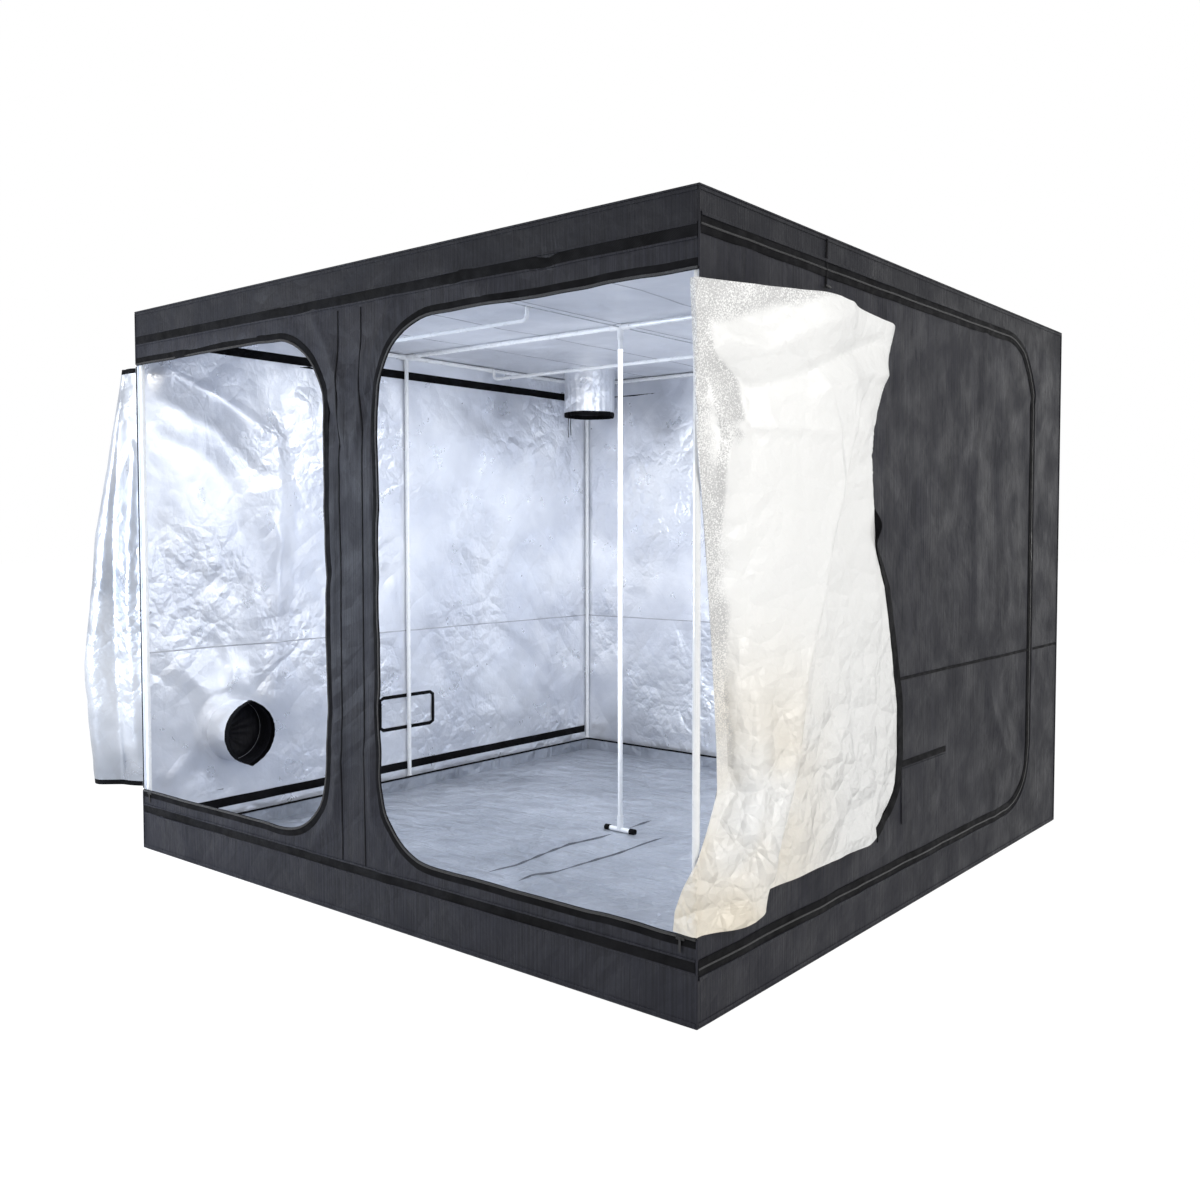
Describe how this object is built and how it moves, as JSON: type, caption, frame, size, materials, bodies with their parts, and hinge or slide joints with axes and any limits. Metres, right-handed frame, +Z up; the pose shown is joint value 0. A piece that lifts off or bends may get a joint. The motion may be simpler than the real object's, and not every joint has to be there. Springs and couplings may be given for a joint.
{
  "type": "indoor grow tent",
  "caption": "Box-shaped indoor grow tent: white tube frame, black cover lined with silver film, two open front doors, zipped side door, vents with flaps, duct sleeves and hanging bars.",
  "frame": {"origin": "on the ground under the middle of the tent's square floor", "axes": "+Z up, -Y towards the front wall with the two doors, +X towards the wall with the zipped side door"},
  "size_m": [2.9855, 2.6382, 2],
  "materials": {
    "white_tube": "semi-gloss",
    "white_plastic": "satin",
    "steel_wire": "satin",
    "black_cloth": "woven, black outside and silver film inside",
    "silver_lining": "crinkled silver film inside and black woven outside",
    "grey_tray": "smooth coated",
    "black_cord": "braided",
    "zip_metal": "satin"
  },
  "bodies": {
    "tent": {"corner_post_front_left": "white_tube", "top_corner_front_left": "white_plastic", "bottom_corner_front_left": "white_plastic", "corner_post_front_right": "white_tube", "top_corner_front_right": "white_plastic", "bottom_corner_front_right": "white_plastic", "corner_post_back_left": "white_tube", "top_corner_back_left": "white_plastic", "bottom_corner_back_left": "white_plastic", "corner_post_back_right": "white_tube", "top_corner_back_right": "white_plastic", "bottom_corner_back_right": "white_plastic", "mid_post_front": "white_tube", "top_rail_front": "white_tube", "bottom_rail_front": "white_tube", "top_tee_front": "white_plastic", "bottom_tee_front": "white_plastic", "mid_post_left": "white_tube", "top_rail_left": "white_tube", "bottom_rail_left": "white_tube", "top_tee_left": "white_plastic", "bottom_tee_left": "white_plastic", "mid_post_back": "white_tube", "top_rail_back": "white_tube", "bottom_rail_back": "white_tube", "top_tee_back": "white_plastic", "bottom_tee_back": "white_plastic", "mid_post_right": "white_tube", "top_rail_right": "white_tube", "bottom_rail_right": "white_tube", "top_tee_right": "white_plastic", "bottom_tee_right": "white_plastic", "centre_post": "white_tube", "centre_foot": "white_plastic", "centre_hub": "white_plastic", "roof_bar_left": "white_tube", "roof_bar_right": "white_tube", "roof_wire": "steel_wire", "front_panel": "black_cloth", "back_panel": "black_cloth", "left_panel": "black_cloth", "right_surround": "black_cloth", "side_door": "black_cloth", "floor_skin": "black_cloth", "roof_panel": "black_cloth", "floor_tray": "grey_tray", "wall_duct_sleeve": "silver_lining", "roof_duct_sleeve": "silver_lining", "drawstring": "black_cord"},
    "front_left_door": {"front_left_door": "silver_lining"},
    "front_right_door": {"front_right_door": "silver_lining"},
    "left_vent_flap": {"left_vent_flap": "black_cloth"},
    "right_vent_flap": {"right_vent_flap": "black_cloth"},
    "side_zip_slider_upper": {"side_zip_slider_upper": "zip_metal"},
    "side_zip_slider_lower": {"side_zip_slider_lower": "zip_metal"},
    "front_left_zip_slider": {"front_left_zip_slider": "zip_metal"},
    "front_right_zip_slider": {"front_right_zip_slider": "zip_metal"},
    "hanging_bar_front": {"hanging_bar_front": "white_tube"},
    "hanging_bar_rear": {"hanging_bar_rear": "white_tube"}
  },
  "joints": [
    {"name": "front_right_door_hinge", "type": "hinge", "parent": "tent", "child": "front_right_door", "pos_m": [1.27655, -1.27655, 1], "axis": [0, 0, 1], "range_deg": [-262, 0]},
    {"name": "front_left_door_hinge", "type": "hinge", "parent": "tent", "child": "front_left_door", "pos_m": [-1.27655, -1.27655, 1], "axis": [0, 0, 1], "range_deg": [0, 228]},
    {"name": "right_vent_flap_hinge", "type": "hinge", "parent": "tent", "child": "right_vent_flap", "pos_m": [1.27605, 0, 0.448], "axis": [0, -1, 0], "range_deg": [0, 170]},
    {"name": "left_vent_flap_hinge", "type": "hinge", "parent": "tent", "child": "left_vent_flap", "pos_m": [-1.27605, 0, 0.448], "axis": [0, 1, 0], "range_deg": [0, 170]},
    {"name": "side_zip_upper_slide", "type": "slide", "parent": "tent", "child": "side_zip_slider_upper", "axis": [0, 0, 1], "range_m": [0, 0.44]},
    {"name": "side_zip_lower_slide", "type": "slide", "parent": "tent", "child": "side_zip_slider_lower", "axis": [0, 0, 1], "range_m": [-0.7, 0]},
    {"name": "front_right_zip_slide", "type": "slide", "parent": "tent", "child": "front_right_zip_slider", "axis": [1, 0, 0], "range_m": [-0.85, 0]},
    {"name": "front_left_zip_slide", "type": "slide", "parent": "tent", "child": "front_left_zip_slider", "axis": [1, 0, 0], "range_m": [0, 0.8]},
    {"name": "hanging_bar_front_slide", "type": "slide", "parent": "tent", "child": "hanging_bar_front", "axis": [0, 1, 0], "range_m": [-0.5, 0.35]},
    {"name": "hanging_bar_rear_slide", "type": "slide", "parent": "tent", "child": "hanging_bar_rear", "axis": [0, 1, 0], "range_m": [-0.35, 0.17]}
  ]
}
